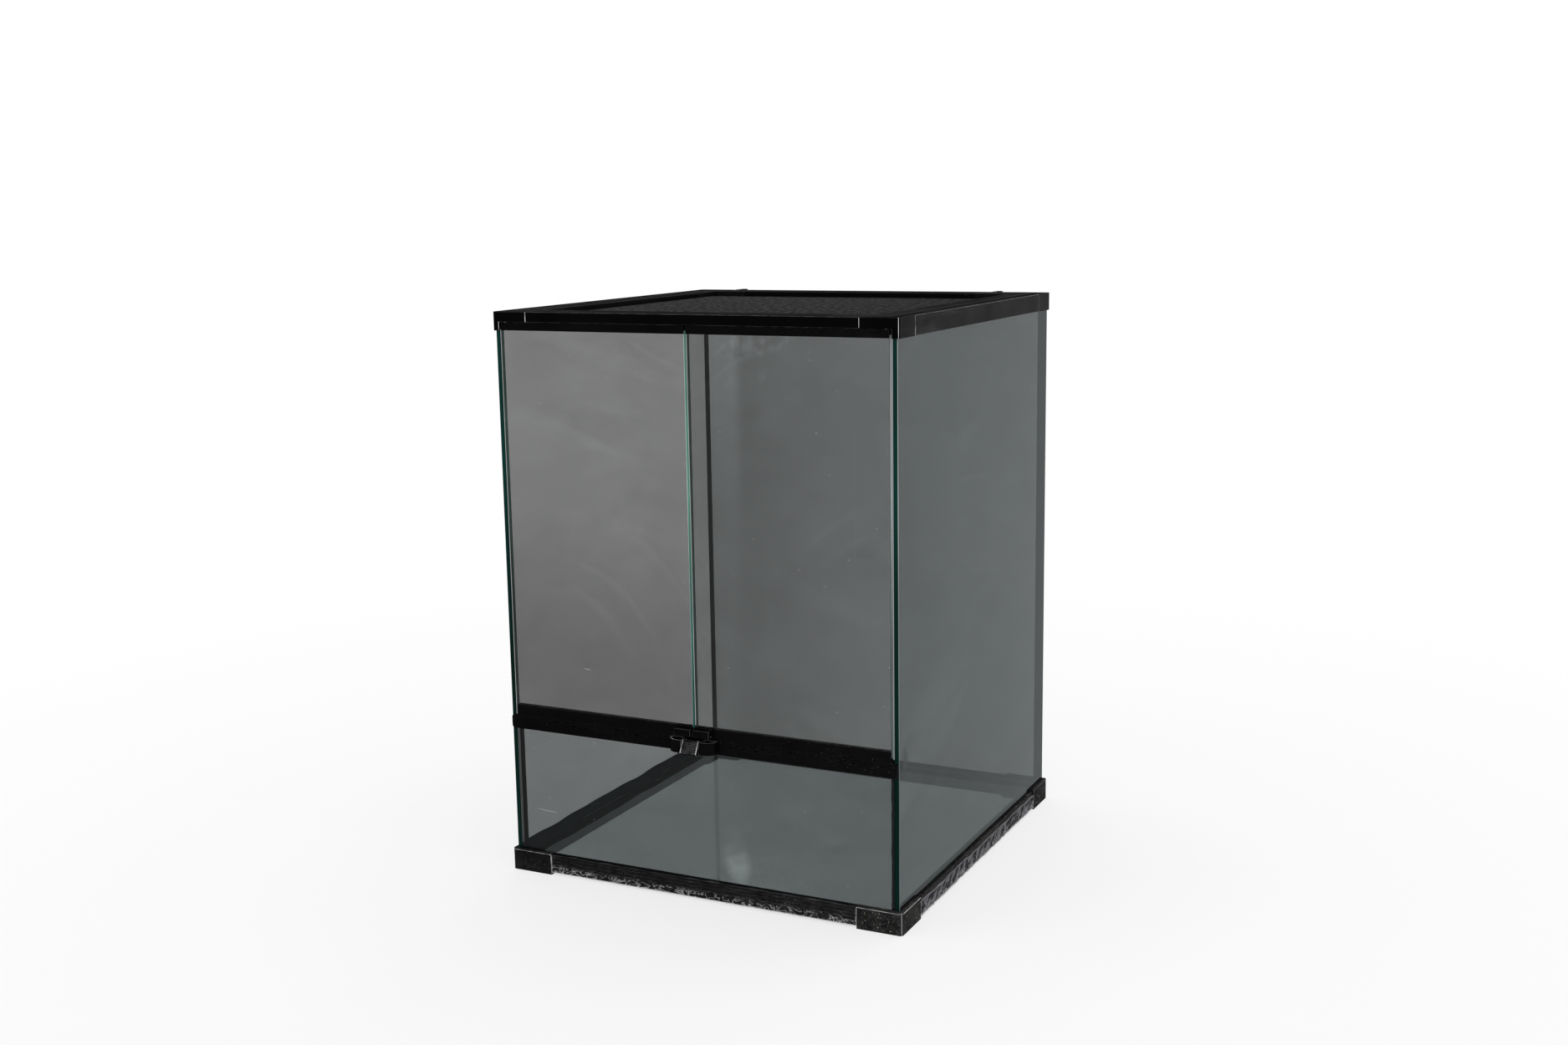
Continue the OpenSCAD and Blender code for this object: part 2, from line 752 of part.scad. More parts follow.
module base_front_rail() base_rail(front);
module base_back_rail() base_rail(back);
module base_left_rail() base_rail(left);
module base_right_rail() base_rail(right);
module base_front_left_corner() base_corner(-1, -1);
module base_front_right_corner() base_corner(1, -1);
module base_back_left_corner() base_corner(-1, 1);
module base_back_right_corner() base_corner(1, 1);
module front_film() film(front);
module back_film() film(back);
module left_film() film(left);
module right_film() film(right);
module left_glass() side_glass(-1);
module right_glass() side_glass(1);
module back_glass() upright_pane(pane_y - pane, rim_z);
module lower_front_glass() upright_pane(-pane_y, low_glass_top);
module front_seals() seals(-1, vent_z);
module back_seals() seals(1, rim_z);
module top_front_rail() top_rail(front);
module top_back_rail() top_rail(back);
module top_left_rail() top_rail(left);
module top_right_rail() top_rail(right);
module top_front_left_corner() top_corner(-1, -1);
module top_front_right_corner() top_corner(1, -1);
module top_back_left_corner() top_corner(-1, 1);
module top_back_right_corner() top_corner(1, 1);
module left_door_glass() door_glass(-1);
module left_door_low_strip() strip(-1, low_strip_z, low_strip_h, false);
module left_door_high_strip() strip(-1, high_strip_z, high_strip_h, true);
module left_door_low_pin() pin(-1, vent_top - pin_reach);
module left_door_high_pin() pin(-1, door_glass_top);
module left_door_catch() catch(-1);
module right_door_glass() door_glass(1);
module right_door_low_strip() strip(1, low_strip_z, low_strip_h, false);
module right_door_high_strip() strip(1, high_strip_z, high_strip_h, true);
module right_door_low_pin() pin(1, vent_top - pin_reach);
module right_door_high_pin() pin(1, door_glass_top);
module right_door_catch() catch(1);
module screen_front_bar() screen_bar(front);
module screen_back_bar() screen_bar(back);
module screen_left_bar() screen_bar(left);
module screen_right_bar() screen_bar(right);
module screen_front_left_corner() screen_corner(-1, -1);
module screen_front_right_corner() screen_corner(1, -1);
module screen_back_left_corner() screen_corner(-1, 1);
module screen_back_right_corner() screen_corner(1, 1);

base_front_rail();
base_back_rail();
base_left_rail();
base_right_rail();
base_front_left_corner();
base_front_right_corner();
base_back_left_corner();
base_back_right_corner();
front_film();
back_film();
left_film();
right_film();
floor_glass();
left_glass();
right_glass();
back_glass();
lower_front_glass();
front_seals();
back_seals();
floor_seals();
vent_rail();
top_front_rail();
top_back_rail();
top_left_rail();
top_right_rail();
top_front_left_corner();
top_front_right_corner();
top_back_left_corner();
top_back_right_corner();
left_door_glass();
left_door_low_strip();
left_door_high_strip();
left_door_low_pin();
left_door_high_pin();
left_door_catch();
right_door_glass();
right_door_low_strip();
right_door_high_strip();
right_door_low_pin();
right_door_high_pin();
right_door_catch();
latch_cover();
latch_tab();
latch_spring();
screen_front_bar();
screen_back_bar();
screen_left_bar();
screen_right_bar();
screen_front_left_corner();
screen_front_right_corner();
screen_back_left_corner();
screen_back_right_corner();
screen_mesh();
screen_clips();
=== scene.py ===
import json
import math

import bmesh
import bpy
from mathutils import Matrix, Vector, noise


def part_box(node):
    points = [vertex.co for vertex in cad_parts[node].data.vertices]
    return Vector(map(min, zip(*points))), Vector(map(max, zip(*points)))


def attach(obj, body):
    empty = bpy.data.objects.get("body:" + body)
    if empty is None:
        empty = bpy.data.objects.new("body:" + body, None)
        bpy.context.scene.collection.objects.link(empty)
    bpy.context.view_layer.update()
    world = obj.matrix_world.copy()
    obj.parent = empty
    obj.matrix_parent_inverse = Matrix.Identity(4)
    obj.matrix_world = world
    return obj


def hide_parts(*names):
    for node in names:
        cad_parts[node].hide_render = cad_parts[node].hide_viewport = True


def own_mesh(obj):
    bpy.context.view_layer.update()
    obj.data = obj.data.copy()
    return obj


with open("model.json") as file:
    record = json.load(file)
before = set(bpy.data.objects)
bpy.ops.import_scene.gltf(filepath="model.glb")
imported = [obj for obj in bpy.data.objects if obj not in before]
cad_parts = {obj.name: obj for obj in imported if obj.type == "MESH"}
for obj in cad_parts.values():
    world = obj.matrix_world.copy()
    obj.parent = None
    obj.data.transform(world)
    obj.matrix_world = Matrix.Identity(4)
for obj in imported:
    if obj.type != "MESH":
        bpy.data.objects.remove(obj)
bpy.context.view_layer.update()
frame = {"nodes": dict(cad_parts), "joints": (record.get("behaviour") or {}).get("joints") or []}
print("frame loaded")

mm = 0.001

# the glass box, worked out from the fixed panes
glassLow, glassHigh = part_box("left_glass")
paneThick = glassHigh.x - glassLow.x
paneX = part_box("right_glass")[1].x
paneY = (glassHigh.y - glassLow.y) / 2
midY = (glassHigh.y + glassLow.y) / 2
innerX = paneX - paneThick
innerY = paneY - paneThick
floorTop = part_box("floor_glass")[1].z


# one socket of a material: Python's operators on it add Math nodes
class Wire:
    def __init__(self, finish, socket):
        self.finish = finish
        self.socket = socket

    def maths(self, operation, first, second=0.0):
        return self.finish.node("Math", {"operation": operation}, {0: first, 1: second})

    def __add__(self, other):
        return self.maths("ADD", self, other)

    def __sub__(self, other):
        return self.maths("SUBTRACT", self, other)

    def __rsub__(self, other):
        return self.maths("SUBTRACT", other, self)

    def __mul__(self, other):
        return self.maths("MULTIPLY", self, other)

    def __pow__(self, other):
        return self.maths("POWER", self, other)

    __radd__ = __add__
    __rmul__ = __mul__

    def most(self, other):
        return self.maths("MAXIMUM", self, other)

    def size(self):
        return self.maths("ABSOLUTE", self)

    # 0 below low, 1 above high and a smooth rise between
    def rise(self, low, high):
        return self.finish.node("MapRange", {"interpolation_type": "SMOOTHSTEP"},
                                {"Value": self, "From Min": low, "From Max": high})


# a material, or a world's nodes where a tree is given
class Finish:
    def __init__(self, name, tree=None):
        if tree is None:
            self.material = bpy.data.materials.new(name)
            self.material.use_nodes = True
            tree = self.material.node_tree
        self.tree = tree
        tree.nodes.clear()
        self.place = self.node("TexCoord", {}, {}, "Object")

    def node(self, kind, settings, sockets, out=0):
        made = self.tree.nodes.new("ShaderNode" + kind)
        for key, value in settings.items():
            setattr(made, key, value)
        for key, value in sockets.items():
            if isinstance(value, Wire):
                self.tree.links.new(value.socket, made.inputs[key])
            else:
                made.inputs[key].default_value = value
        return Wire(self, made.outputs[out] if made.outputs else None)

    def noise(self, scale, detail=2.0, stretch=(1, 1, 1), distortion=0.0, turn=(0, 0, 0)):
        moved = self.node("Mapping", {}, {"Vector": self.place, "Scale": stretch, "Rotation": turn})
        return self.node("TexNoise", {}, {"Vector": moved, "Scale": scale, "Detail": detail,
                                          "Distortion": distortion})

    # the distance along x, y or z, for an axis of 0, 1 or 2
    def along(self, axis):
        return self.node("SeparateXYZ", {}, {0: self.place}, axis)

    # 0 at the middle of an oval patch and 1 from its rim outwards
    def patch(self, middle, reach, turn=(0, 0, 0)):
        moved = self.node("Mapping", {"vector_type": "TEXTURE"}, {
            "Vector": self.place, "Location": middle, "Rotation": turn, "Scale": reach})
        return self.node("VectorMath", {"operation": "LENGTH"}, {0: moved}, "Value")

    def blend(self, first, second, share):
        return self.node("Mix", {"data_type": "RGBA"}, {0: share, 6: first, 7: second}, 2)

    def bump(self, height, strength, distance):
        return self.node("Bump", {}, {"Height": height, "Strength": strength, "Distance": distance})

    def principled(self, **sockets):
        return self.node("BsdfPrincipled", {}, {
            key.replace("_", " "): value for key, value in sockets.items()})

    # a matt body under a gloss that is only a share of a full one
    def glossed(self, colour, gloss, rough, **more):
        return self.principled(Base_Color=colour, Roughness=0.6, Specular_IOR_Level=0.0,
                               Coat_Weight=gloss, Coat_Roughness=rough, **more)

    def clear(self, colour):
        return self.node("BsdfTransparent", {}, {"Color": colour})

    def mixShader(self, first, second, share):
        return self.node("MixShader", {}, {0: share, 1: first, 2: second})

    def done(self, shader):
        self.node("OutputMaterial", {}, {"Surface": shader})
        return self.material


def grey(level):
    return (level, level, level, 1)


def scaled(colour, share):
    return tuple(c * share for c in colour[:3]) + (1,)


# each black plastic: gloss is a share of full gloss, grain the strength of its bump, dust how
# much grit it carries, edge and upright how pale the painted highlights on its level and upright
# edges are
plastic = {
    "kinds": {
        "frame": {"colour": (0.0008, 0.0008, 0.0009, 1), "rough": 0.30, "gloss": 0.034,
                  "grain": 0.30, "dust": 0.0, "edge": 0.05, "upright": 0.75},
        "base": {"colour": (0.0036, 0.0035, 0.0036, 1), "rough": 0.34, "gloss": 0.045,
                 "grain": 0.35, "dust": 1.0, "edge": 0.035, "upright": 0.80},
        "rail": {"colour": (0.0030, 0.0029, 0.0030, 1), "rough": 0.34, "gloss": 0.045,
                 "grain": 0.35, "dust": 0.8, "edge": 0.14, "upright": 0.30},
        "strip": {"colour": (0.0014, 0.0013, 0.0015, 1), "rough": 0.24, "gloss": 0.045,
                  "grain": 0.10, "dust": 0.12, "edge": 0.17, "upright": 0.35},
        "catch": {"colour": (0.0014, 0.0013, 0.0015, 1), "rough": 0.24, "gloss": 0.04,
                  "grain": 0.10, "dust": 0.12, "edge": 0.025, "upright": 0.10},
        "latch": {"colour": (0.0014, 0.0013, 0.0015, 1), "rough": 0.26, "gloss": 0.05,
                  "grain": 0.12, "dust": 0.1, "edge": 0.14, "upright": 0.70},
        "screen": {"colour": (0.0018, 0.0018, 0.0019, 1), "rough": 0.36, "gloss": 0.04,
                   "grain": 0.30, "dust": 0.15, "edge": 0.006, "upright": 0.01},
        "connector": {"colour": (0.0045, 0.0044, 0.0047, 1), "rough": 0.40, "gloss": 0.05,
                      "grain": 0.35, "dust": 0.15, "edge": 0.015, "upright": 0.02},
    },
    "grainScale": 1500, "grainDepth": 0.12 * mm,
    "arrisGloss": 0.25, "edgeRough": 0.22, "uprightRough": 0.16,
    "dustFoot": 0.004, "dustTop": 0.026, "dustRight": 0.22,
    "grit": (0.20, 0.20, 0.195, 1), "sand": (0.42, 0.34, 0.24, 1),
}


# moulded black plastic with a fine grain, rubbed patches, and grit towards the floor and the right
def blackPlastic(kind):
    p = plastic["kinds"][kind]
    f = Finish(kind + "Black")
    cloud = f.noise(22, 5)
    grain = f.noise(plastic["grainScale"], 2)
    scuff = f.noise(9, 6, (1, 1, 6), 1.4).rise(0.56, 0.74)
    colour = f.blend(p["colour"], scaled(p["colour"], 2.4), cloud * 0.6)
    gloss = (cloud + scuff * 0.5 + 0.45) * p["gloss"]
    if p["dust"]:
        low = 1 - f.along(2).rise(plastic["dustFoot"], plastic["dustTop"])
        right = f.along(0).rise(0.0, plastic["dustRight"])
        settled = (low * 0.35 + right * 0.65) * p["dust"]
        fine = f.noise(1300, 2).rise(0.56, 0.68) * settled
        sand = f.noise(430, 1).rise(0.70, 0.76) * (settled + 0.1 * p["dust"])
        bloom = f.noise(60, 6).rise(0.35, 0.75) * settled
        colour = f.blend(colour, plastic["grit"], fine * 0.5 + bloom * 0.11)
        colour = f.blend(colour, plastic["sand"], sand * 0.8)
        gloss = gloss * (1 - fine)
    return f.done(f.glossed(colour, gloss, p["rough"], Normal=f.bump(
        grain * 0.7 + cloud * 0.3, p["grain"], plastic["grainDepth"])))


# a painted highlight along the rounded edge of a moulding, broken up in places
def arrisHighlight(name, level, rough):
    f = Finish(name)
    worn = f.noise(130, 4, (1, 1, 0.4)).rise(0.34, 0.62)
    colour = f.blend(grey(level * 0.25), grey(level), worn)
    return f.done(f.glossed(colour, plastic["arrisGloss"], rough))


# a plastic's three finishes: faces, and the painted highlights on level edges and on upright edges
def moulding(kind):
    p = plastic["kinds"][kind]
    return [blackPlastic(kind), arrisHighlight(kind + "Edge", p["edge"], plastic["edgeRough"]),
            arrisHighlight(kind + "Upright", p["upright"], plastic["uprightRough"])]


def steelFinish(name, level, rough):
    f = Finish(name)
    turned = f.noise(900, 2, (1, 1, 8))
    return f.done(f.principled(Base_Color=grey(level), Metallic=1.0,
                               Roughness=turned * 0.2 + rough))


finishes = {kind: moulding(kind) for kind in plastic["kinds"]}
print("plastics made")


# every new piece ends here: its edges stay sharp from smoothAngle up, in degrees, and with None
# all of its faces stay flat
def addPiece(name, bm, body, materials, nodes=(), smoothAngle=50):
    mesh = bpy.data.meshes.new(name)
    bm.to_mesh(mesh)
    bm.free()
    piece = bpy.data.objects.new(name, mesh)
    bpy.context.scene.collection.objects.link(piece)
    for material in materials:
        mesh.materials.append(material)
    if smoothAngle is not None:
        mesh.shade_smooth()
        mesh.set_sharp_from_angle(angle=math.radians(smoothAngle))
        even = piece.modifiers.new("evenNormals", "WEIGHTED_NORMAL")
        even.keep_sharp = True
    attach(piece, body)
    if nodes:
        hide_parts(*nodes)
    return piece


# each pane: through is what it lets past, mirror what it reflects, smear how badly it was wiped,
# deepen how much darker it is low down, fade how much lighter towards the right, wipeFrom the
# middle of the cloth's arcs, outside the way its outer face points, edges its cut edges
panes = {
    "plain": {"tint": (1, 1, 1), "mirror": (0.45, 0.45, 0.45), "smear": 0.03, "deepen": 0.0,
              "fade": 0.0, "edges": {}},
    "floor_glass": {"through": 0.395, "tint": (0.94, 1, 1), "mirror": (0.86, 0.93, 0.93),
                    "smear": 0.02, "outside": "+z", "wipeFrom": (0.1, -0.3, 0)},
    "left_glass": {"through": 0.47, "outside": "-x", "wipeFrom": (0, -0.3, 0.1),
                   "edges": {"-y": "seaEdge", "+y": "slateEdge", "-x+y": "cyanArris"}},
    "right_glass": {"through": 0.265, "tint": (0.94, 1, 1), "mirror": (0.32, 0.36, 0.36),
                    "outside": "+x", "wipeFrom": (0, -0.1, 0.0),
                    "edges": {"-y": "seaEdge", "+y": "slateEdge", "+x-y": "lightArris",
                              "+x+y": "cyanArris"}},
    "back_glass": {"through": 0.30, "tint": (0.97, 1, 1), "outside": "+y",
                   "wipeFrom": (0.3, 0, 0.2)},
    "lower_front_glass": {"through": 0.385, "tint": (0.94, 1, 1), "mirror": (0.22, 0.22, 0.22),
                          "smear": 0.010, "outside": "-y", "wipeFrom": (0.1, 0, 0.6)},
    "left_door_glass": {"through": 0.42, "mirror": (0.35, 0.35, 0.35), "smear": 0.045,
                        "deepen": 0.47, "outside": "-y", "wipeFrom": (-0.25, 0, 0.18),
                        "edges": {"+x": "aquaEdge", "-x": "paleAquaEdge", "+x-y": "lightArris"}},
    "right_door_glass": {"through": 0.37, "tint": (0.97, 1, 1), "mirror": (0.35, 0.35, 0.35),
                         "fade": 0.6, "outside": "-y", "wipeFrom": (0.3, 0, 0.25),
                         "edges": {"-x": "dimAquaEdge", "+x": "whiteEdge"}},
}

# what all panes share: swing is how far their clearness wanders either way, cleanest how clear a
# mark can make them, veil the haze all over and speckle that of a dust speck
glass = {
    "swing": 0.30, "cleanest": 2.0, "inside": (0.985, 0.93), "polish": 0.012,
    "veil": 0.012, "speckle": 0.5, "haze": (0.42, 0.46, 0.47, 1),
    "deepFrom": 0.20, "deepTo": 0.45, "fadeTo": 0.22, "arris": 0.35 * mm,
    "slant": 0.35, "drawnOut": 7, "feathers": 0.8, "arcs": 0.38, "cloud": 0.4,
    "edgeShine": 0.06, "edgeRough": 0.14,
}

# cut edges, whose colours are painted light running inside the glass and painted highlights on the
# arrises: their colour near the foot, their colour higher up and the heights between
edgeLooks = {
    "seaEdge": ((0.0015, 0.018, 0.014), (0.004, 0.040, 0.032), (0.2, 0.5)),
    "slateEdge": ((0.012, 0.020, 0.022), (0.030, 0.045, 0.055), (0.2, 0.5)),
    "hiddenEdge": ((0.003, 0.012, 0.011), (0.003, 0.014, 0.013), (0.2, 0.5)),
    "aquaEdge": ((0.08, 0.34, 0.27), (0.40, 0.85, 0.68), (0.18, 0.55)),
    "dimAquaEdge": ((0.20, 0.36, 0.33), (0.30, 0.58, 0.50), (0.2, 0.5)),
    "paleAquaEdge": ((0.06, 0.18, 0.14), (0.13, 0.40, 0.31), (0.2, 0.5)),
    "whiteEdge": ((0.25, 0.32, 0.32), (0.85, 0.90, 0.90), (0.18, 0.55)),
    "cyanArris": ((0.05, 0.08, 0.08), (0.30, 0.52, 0.50), (0.25, 0.45)),
    "lightArris": ((0.20, 0.25, 0.24), (0.75, 0.78, 0.78), (0.15, 0.5)),
}

# marks on the panes; a reach of 9 goes right through the glass
marks = {
    "band": {"middle": (-0.201, 0, 0.44), "reach": (0.034, 9, 0.62)},
    "swirl": {"middle": (-0.15, 0, 0.55), "reach": (0.085, 9, 0.13)},
    "run": {"middle": (-0.019, 0, 0.36), "reach": (0.0012, 9, 0.2)},
    "streak": {"middle": (-0.002, -0.130, floorTop), "reach": (0.018, 0.115, 9),
               "turn": (0, 0, 0.55)},
    "doorNick": {"middle": (-0.125, 0, 0.232), "reach": (0.0058, 9, 0.0008),
                 "turn": (0, 0.12, 0)},
    "lowNick": {"middle": (-0.183, 0, 0.070), "reach": (0.016, 9, 0.0009), "turn": (0, 0.06, 0)},
}
footHighlightAt = innerX - 5.9 * mm  # where a painted highlight line runs on the floor glass along the sealant's foot


# 1 inside a mark and 0 outside, fading from the share of its reach that is given
def mark(f, name, fadeFrom):
    return 1 - f.patch(**marks[name]).rise(fadeFrom, 1.0)


# each of these gives how much clearer and how much hazier a pane is at its marks
def noMarks(f):
    return 0.0, 0.0


# a pale band down the left of the back pane, stronger high up, wiped swirls and a run of water
def backMarks(f):
    band = mark(f, "band", 0.45) * (f.along(2).rise(0.26, 0.58) * 0.42 + 0.15)
    swirl = mark(f, "swirl", 0.2) * f.noise(26, 5, (1.6, 1, 1), 2.2).rise(0.45, 0.7)
    return band + swirl * 0.40 + mark(f, "run", 0.3) * 0.12, 0.0


# a pale streak towards the front of the floor and a painted highlight line round it along the
# sealant's foot
def floorMarks(f):
    near = 1 - f.along(1).rise(-0.18, -0.06)
    patchy = f.noise(34, 4, (1, 0.5, 1), 1.0).rise(0.3, 0.7) * 0.7 + 0.3
    streak = mark(f, "streak", 0.4) * patchy * (near + 0.25)
    fromMiddle = f.along(0).size().most((f.along(1) - midY).size())
    line = 1 - (fromMiddle - footHighlightAt).size().rise(0.1 * mm, 0.6 * mm)
    line = line * f.noise(28, 3).rise(0.42, 0.6)
    return streak * 0.75 + line * 0.35, 0.0


def leftDoorMarks(f):
    nick = mark(f, "doorNick", 0.4)
    return nick * 0.2, nick * 0.4


def lowPaneMarks(f):
    nick = mark(f, "lowNick", 0.4)
    return nick * 0.25, nick * 0.25


# long feathered strokes of a cloth and a few wide arcs, both in patches, over a thin cloud
def wipes(f, p):
    alongX = "x" not in p["outside"]
    slanted = f.node("Mapping", {"vector_type": "TEXTURE"}, {
        "Vector": f.place,
        "Rotation": (0, glass["slant"], 0) if alongX else (glass["slant"], 0, 0),
        "Scale": (glass["drawnOut"], 1, 1) if alongX else (1, glass["drawnOut"], 1)})
    feathers = f.node("TexNoise", {}, {"Vector": slanted, "Scale": 24, "Detail": 4,
                                       "Distortion": 0.4}).rise(0.50, 0.72)
    feathers = feathers * f.noise(4, 2).rise(0.38, 0.62) * glass["feathers"]
    ring = f.patch(p["wipeFrom"], (1, 60, 1) if alongX else (60, 1, 1))
    arcs = f.node("TexNoise", {"noise_dimensions": "1D"}, {
        "W": ring * 11 + f.noise(5, 2) * 1.4, "Detail": 3}).rise(0.52, 0.76)
    arcs = arcs * f.noise(6, 2).rise(0.42, 0.66) * glass["arcs"]
    cloud = f.noise(11, 5, (1, 1, 2.0), 0.9).rise(0.45, 0.8)
    return feathers + arcs + cloud * glass["cloud"]


# the outer face of a pane: how much light it lets past, what it mirrors, its dust and wipes
def paneFace(node, p, findMarks):
    f = Finish(node + "Face")
    smear = wipes(f, p)
    cleared, hazed = findMarks(f)
    low = 1 - f.along(2).rise(glass["deepFrom"], glass["deepTo"])
    share = (f.noise(4, 4, (1, 1, 1), 0.7) - 0.5) * 0.40 + smear * 0.14
    share = share + (f.noise(330, 1) - 0.5) * 0.04 + (0.5 - low * p["deepen"])
    share = share + (f.along(0).rise(0.0, glass["fadeTo"]) - 0.5) * p["fade"]
    tinted = scaled(p["tint"], p["through"])
    body = f.mixShader(f.clear(scaled(tinted, 1 - glass["swing"])),
                       f.clear(scaled(tinted, 1 + glass["swing"])), share)
    body = f.mixShader(body, f.clear(scaled(tinted, glass["cleanest"])), cleared)
    # glass mirrors 4 percent straight on and everything at a grazing angle
    mirror = f.principled(Base_Color=p["mirror"] + (1,), Metallic=1.0, Roughness=glass["polish"])
    grazing = f.node("LayerWeight", {}, {"Blend": 0.5}, "Facing")
    body = f.mixShader(body, mirror, grazing ** 5 * 0.96 + 0.04)
    speck = f.node("TexVoronoi", {}, {"Vector": f.place, "Scale": 60}, "Distance")
    dots = 1 - speck.rise(0.02, 0.035)
    haze = f.principled(Base_Color=glass["haze"], Roughness=0.6, Specular_IOR_Level=0.0)
    veil = smear * p["smear"] + dots * glass["speckle"] + glass["veil"] + hazed
    return f.done(f.mixShader(body, haze, veil))


# the inner face only carries faint wipes
def innerFace(node):
    f = Finish(node + "Inside")
    cloud = f.noise(13, 5, (1, 1, 2), 0.8, (0.3, 0.2, 0.5)).rise(0.45, 0.75)
    clearer, duller = (f.clear(grey(level)) for level in glass["inside"])
    return f.done(f.mixShader(clearer, duller, cloud))


# the cut edge of a pane, with the light that runs along inside the glass painted into its colour,
# fading towards the foot
def paneEdge(name, low, high, span):
    f = Finish(name)
    waver = f.noise(70, 3, (1, 1, 0.12)).rise(0.3, 0.7)
    colour = f.blend(low + (1,), high + (1,), f.along(2).rise(*span))
    return f.done(f.glossed(f.blend(colour, (0, 0, 0, 1), waver * 0.35), glass["edgeShine"],
                            glass["edgeRough"]))


# the way a cut face points, such as +x for a side and +x-y for the arris between two
def facing(normal):
    return "".join(("+" if c > 0 else "-") + axis for c, axis in zip(normal, "xyz")
                   if abs(c) > 0.4)


def boxMesh(low, high):
    bm = bmesh.new()
    bmesh.ops.create_cube(bm, size=1)
    bmesh.ops.scale(bm, vec=high - low, verts=bm.verts)
    bmesh.ops.translate(bm, vec=(high + low) / 2, verts=bm.verts)
    return bm


def makePane(node, body, findMarks=noMarks):
    p = {**panes["plain"], **panes[node]}
    bm = boxMesh(*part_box(node))
    bmesh.ops.bevel(bm, geom=bm.edges[:], offset=glass["arris"], offset_type="OFFSET", segments=1,
                    profile=0.5, affect="EDGES", material=-1)
    materials = [paneFace(node, p, findMarks), innerFace(node), cutEdges["hiddenEdge"]]
    biggest = max(face.calc_area() for face in bm.faces)
    for face in bm.faces:
        way = facing(face.normal)
        finish = cutEdges[p["edges"].get(way, "hiddenEdge")]
        if face.calc_area() > biggest * 0.5:
            finish = materials[0] if way == p["outside"] else materials[1]
        if finish not in materials:
            materials.append(finish)
        face.material_index = materials.index(finish)
    addPiece(node + "_cut", bm, body, materials, [node], smoothAngle=None)


cutEdges = {name: paneEdge(name, *look) for name, look in edgeLooks.items()}
makePane("floor_glass", "housing", floorMarks)
makePane("left_glass", "housing")
makePane("right_glass", "housing")
makePane("back_glass", "housing", backMarks)
makePane("lower_front_glass", "housing", lowPaneMarks)
makePane("left_door_glass", "left_door", leftDoorMarks)
makePane("right_door_glass", "right_door")
print("panes cut")


# the radius on each moulding's edges, how near points are merged, and in degrees up to what
# angle faces count as flat and from what angle an edge counts as sharp
rounding = {"base": 0.8 * mm, "top": 0.45 * mm, "strip": 0.35 * mm, "vent": 0.22 * mm,
            "latch": 0.3 * mm, "screen": 0.5 * mm, "merge": 0.002 * mm, "flat": 0.5, "sharp": 35}
corners = [f"{end}_{side}_corner" for end in ("front", "back") for side in ("left", "right")]
sides = ("front", "back", "left", "right")
plasticPieces = []


# a merged copy of a CAD node with its sharp edges rounded over and given painted highlights: glint
# gives the upright highlight finish to the moulded round of an outer corner, and flank to edges
# that point that far sideways
def roundedCopy(node, body, kind, radius, glint=0.0, flank=2.0):
    bm = bmesh.new()
    bm.from_mesh(frame["nodes"][node].data)
    bmesh.ops.remove_doubles(bm, verts=bm.verts, dist=rounding["merge"])
    bmesh.ops.dissolve_limit(bm, angle_limit=math.radians(rounding["flat"]), verts=bm.verts,
                             edges=bm.edges)
    for face in bm.faces:
        face.material_index = 0
    sharp = [e for e in bm.edges if len(e.link_faces) == 2
             and e.calc_face_angle(0) > math.radians(rounding["sharp"])]
    turned = bmesh.ops.bevel(bm, geom=sharp, offset=radius, offset_type="OFFSET", segments=2,
                             profile=0.5, affect="EDGES", clamp_overlap=True, material=-1)["faces"]
    # the rounded edges take the painted highlight finishes: the bright upright one or the dim level
    # one
    for face in turned:
        upright = abs(face.normal.z) < 0.25 or abs(face.normal.x) > flank
        face.material_index = 2 if upright else 1
    for face in bm.faces:
        n = face.normal
        if glint and abs(n.z) < 0.2 and min(abs(n.x), abs(n.y)) > glint:
            face.material_index = 2
    piece = addPiece(node + "_finish", bm, body, finishes[kind], [node])
    plasticPieces.append(piece)
    return piece


# the moulded round of each corner carries a painted highlight down its middle
for part in corners:
    roundedCopy("base_" + part, "housing", "base", rounding["base"], glint=0.6)
    roundedCopy("top_" + part, "housing", "frame", rounding["top"], glint=0.6)
    roundedCopy("screen_" + part, "screen", "connector", rounding["screen"])
for side in sides:
    roundedCopy(f"base_{side}_rail", "housing", "rail", rounding["vent"])
    roundedCopy(f"top_{side}_rail", "housing", "frame", rounding["top"])
    roundedCopy(f"screen_{side}_bar", "screen", "screen", rounding["screen"])
roundedCopy("screen_clips", "screen", "strip", rounding["vent"])
roundedCopy("vent_rail", "housing", "strip", rounding["vent"])
for side in ("left", "right"):
    for part in ("low_strip", "high_strip", "catch"):
        roundedCopy(f"{side}_door_{part}", side + "_door",
                    "catch" if part == "catch" else "strip", rounding["strip"])
print("frames rounded")


# top and foot are y and z at the ends of the thumb tab's slanted face, half is half its width
latch = {"half": 9.25 * mm, "rim": 0.85 * mm, "proud": 0.55 * mm, "bevel": 0.22 * mm, "ribs": 9,
         "ribTall": 0.42 * mm, "ribProud": 0.45 * mm,
         "top": (-226.9 * mm, 172.4 * mm), "foot": (-233.4 * mm, 160.7 * mm),
         "crescentHighlight": -19 * mm, "tabFlank": 0.35}


# the cover's rim carries a dim painted highlight, and a bright painted highlight in a crescent at
# its left end
def makeLatchCover():
    cover = roundedCopy("latch_cover", "housing", "latch", rounding["latch"])
    for face in cover.data.polygons:
        if face.material_index:
            paintedHighlight = face.center.x < latch["crescentHighlight"] and face.normal.z > 0.2
            face.material_index = 2 if paintedHighlight else 1
